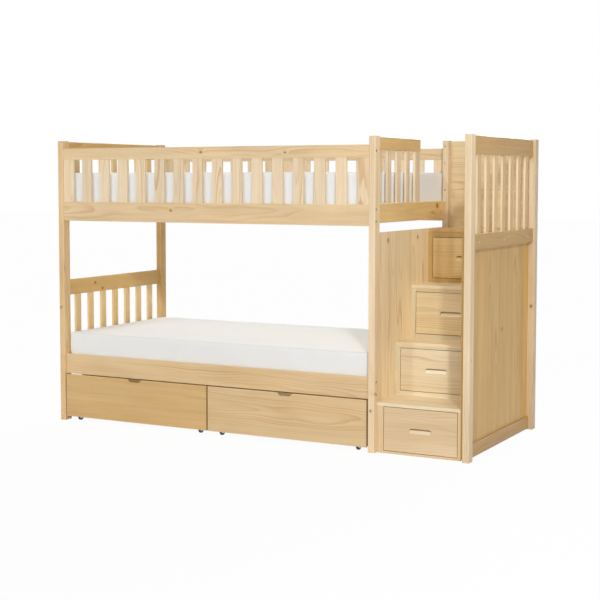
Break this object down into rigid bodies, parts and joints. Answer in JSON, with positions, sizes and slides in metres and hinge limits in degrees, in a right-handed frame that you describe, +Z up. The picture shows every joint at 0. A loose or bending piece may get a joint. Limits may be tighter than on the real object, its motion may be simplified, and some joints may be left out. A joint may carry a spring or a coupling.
{
  "type": "bunk bed with storage stairs",
  "caption": "Twin over twin pine bunk bed with guard rails, a storage stair with drawers at one end and rolling drawers under the lower bunk.",
  "frame": {"origin": "centre of the footprint, on the floor", "axes": "+X along the bed towards the stair, +Y from the front to the back, +Z up"},
  "size_m": [2.567, 1.085, 1.651],
  "materials": {
    "pine_posts": "satin clear lacquer over natural pine",
    "pine_rails": "satin clear lacquer over natural pine",
    "pine_slats": "satin clear lacquer over natural pine",
    "pine_panels": "satin clear lacquer over glued pine boards",
    "pine_drawers": "satin clear lacquer over natural pine",
    "beech": "bare fluted dowel",
    "steel": "zinc plated",
    "nylon": "moulded nylon",
    "mattress_fabric": "plain knitted cover"
  },
  "bodies": {
    "frame": {"barrel_nuts": "steel", "bed_post_back_left": "pine_posts", "bed_post_back_right": "pine_posts", "bed_post_front_left": "pine_posts", "bed_post_front_right": "pine_posts", "deck_cleats": "pine_rails", "deck_slats": "pine_slats", "drawer_runners": "pine_rails", "guard_slats_back": "pine_slats", "guard_slats_front": "pine_slats", "guard_top_rail_back": "pine_rails", "guard_top_rail_front": "pine_rails", "left_end_rails": "pine_rails", "left_end_slats": "pine_slats", "lower_mattress": "mattress_fabric", "lower_side_rail_back": "pine_rails", "lower_side_rail_front": "pine_rails", "mid_rail_screws": "steel", "rail_bolts": "steel", "rail_dowels": "beech", "riser_frame_1": "pine_panels", "riser_frame_2": "pine_panels", "riser_frame_3": "pine_panels", "riser_frame_4": "pine_panels", "stair_end_rail": "pine_rails", "stair_guard_rail": "pine_rails", "stair_guard_slats": "pine_slats", "stair_inner_panel": "pine_panels", "stair_landing": "pine_panels", "stair_treads": "pine_panels", "tower_back_panel": "pine_panels", "tower_foot_rail": "pine_rails", "tower_mid_rail": "pine_rails", "tower_post_back": "pine_posts", "tower_post_front": "pine_posts", "tower_side_panel": "pine_panels", "tower_slats": "pine_slats", "tower_top_rail": "pine_rails", "tread_cleats": "pine_rails", "upper_mattress": "mattress_fabric", "upper_side_rail_back": "pine_rails", "upper_side_rail_front": "pine_rails"},
    "bed_drawer_left": {"bed_drawer_front_left": "pine_drawers", "bed_drawer_box_left": "pine_drawers", "caster_brackets_left": "steel"},
    "wheels_left_front": {"caster_wheels_left_front": "nylon"},
    "wheels_left_rear": {"caster_wheels_left_rear": "nylon"},
    "bed_drawer_right": {"bed_drawer_front_right": "pine_drawers", "bed_drawer_box_right": "pine_drawers", "caster_brackets_right": "steel"},
    "wheels_right_front": {"caster_wheels_right_front": "nylon"},
    "wheels_right_rear": {"caster_wheels_right_rear": "nylon"},
    "stair_drawer_1": {"stair_drawer_front_1": "pine_drawers", "stair_drawer_box_1": "pine_drawers"},
    "stair_drawer_2": {"stair_drawer_front_2": "pine_drawers", "stair_drawer_box_2": "pine_drawers"},
    "stair_drawer_3": {"stair_drawer_front_3": "pine_drawers", "stair_drawer_box_3": "pine_drawers"},
    "stair_drawer_4": {"stair_drawer_front_4": "pine_drawers", "stair_drawer_box_4": "pine_drawers"}
  },
  "joints": [
    {"name": "bed_drawer_left_slide", "type": "slide", "parent": "frame", "child": "bed_drawer_left", "axis": [0, -1, 0], "range_m": [0, 0.95]},
    {"name": "wheels_left_front_spin", "type": "hinge", "parent": "bed_drawer_left", "child": "wheels_left_front", "pos_m": [-0.75175, -0.4925, 0.02], "axis": [1, 0, 0], "continuous": true},
    {"name": "wheels_left_rear_spin", "type": "hinge", "parent": "bed_drawer_left", "child": "wheels_left_rear", "pos_m": [-0.75175, 0.3975, 0.02], "axis": [1, 0, 0], "continuous": true},
    {"name": "bed_drawer_right_slide", "type": "slide", "parent": "frame", "child": "bed_drawer_right", "axis": [0, -1, 0], "range_m": [0, 0.95]},
    {"name": "wheels_right_front_spin", "type": "hinge", "parent": "bed_drawer_right", "child": "wheels_right_front", "pos_m": [0.22975, -0.4925, 0.02], "axis": [1, 0, 0], "continuous": true},
    {"name": "wheels_right_rear_spin", "type": "hinge", "parent": "bed_drawer_right", "child": "wheels_right_rear", "pos_m": [0.22975, 0.3975, 0.02], "axis": [1, 0, 0], "continuous": true},
    {"name": "stair_drawer_1_slide", "type": "slide", "parent": "frame", "child": "stair_drawer_1", "axis": [0, -1, 0], "range_m": [0, 0.2]},
    {"name": "stair_drawer_2_slide", "type": "slide", "parent": "frame", "child": "stair_drawer_2", "axis": [0, -1, 0], "range_m": [0, 0.2]},
    {"name": "stair_drawer_3_slide", "type": "slide", "parent": "frame", "child": "stair_drawer_3", "axis": [0, -1, 0], "range_m": [0, 0.2]},
    {"name": "stair_drawer_4_slide", "type": "slide", "parent": "frame", "child": "stair_drawer_4", "axis": [0, -1, 0], "range_m": [0, 0.2]}
  ],
  "couplings": [
    {"joint": "wheels_left_front_spin", "follows": "bed_drawer_left_slide", "rad_per_m": 50},
    {"joint": "wheels_left_rear_spin", "follows": "bed_drawer_left_slide", "rad_per_m": 50},
    {"joint": "wheels_right_front_spin", "follows": "bed_drawer_right_slide", "rad_per_m": 50},
    {"joint": "wheels_right_rear_spin", "follows": "bed_drawer_right_slide", "rad_per_m": 50}
  ]
}
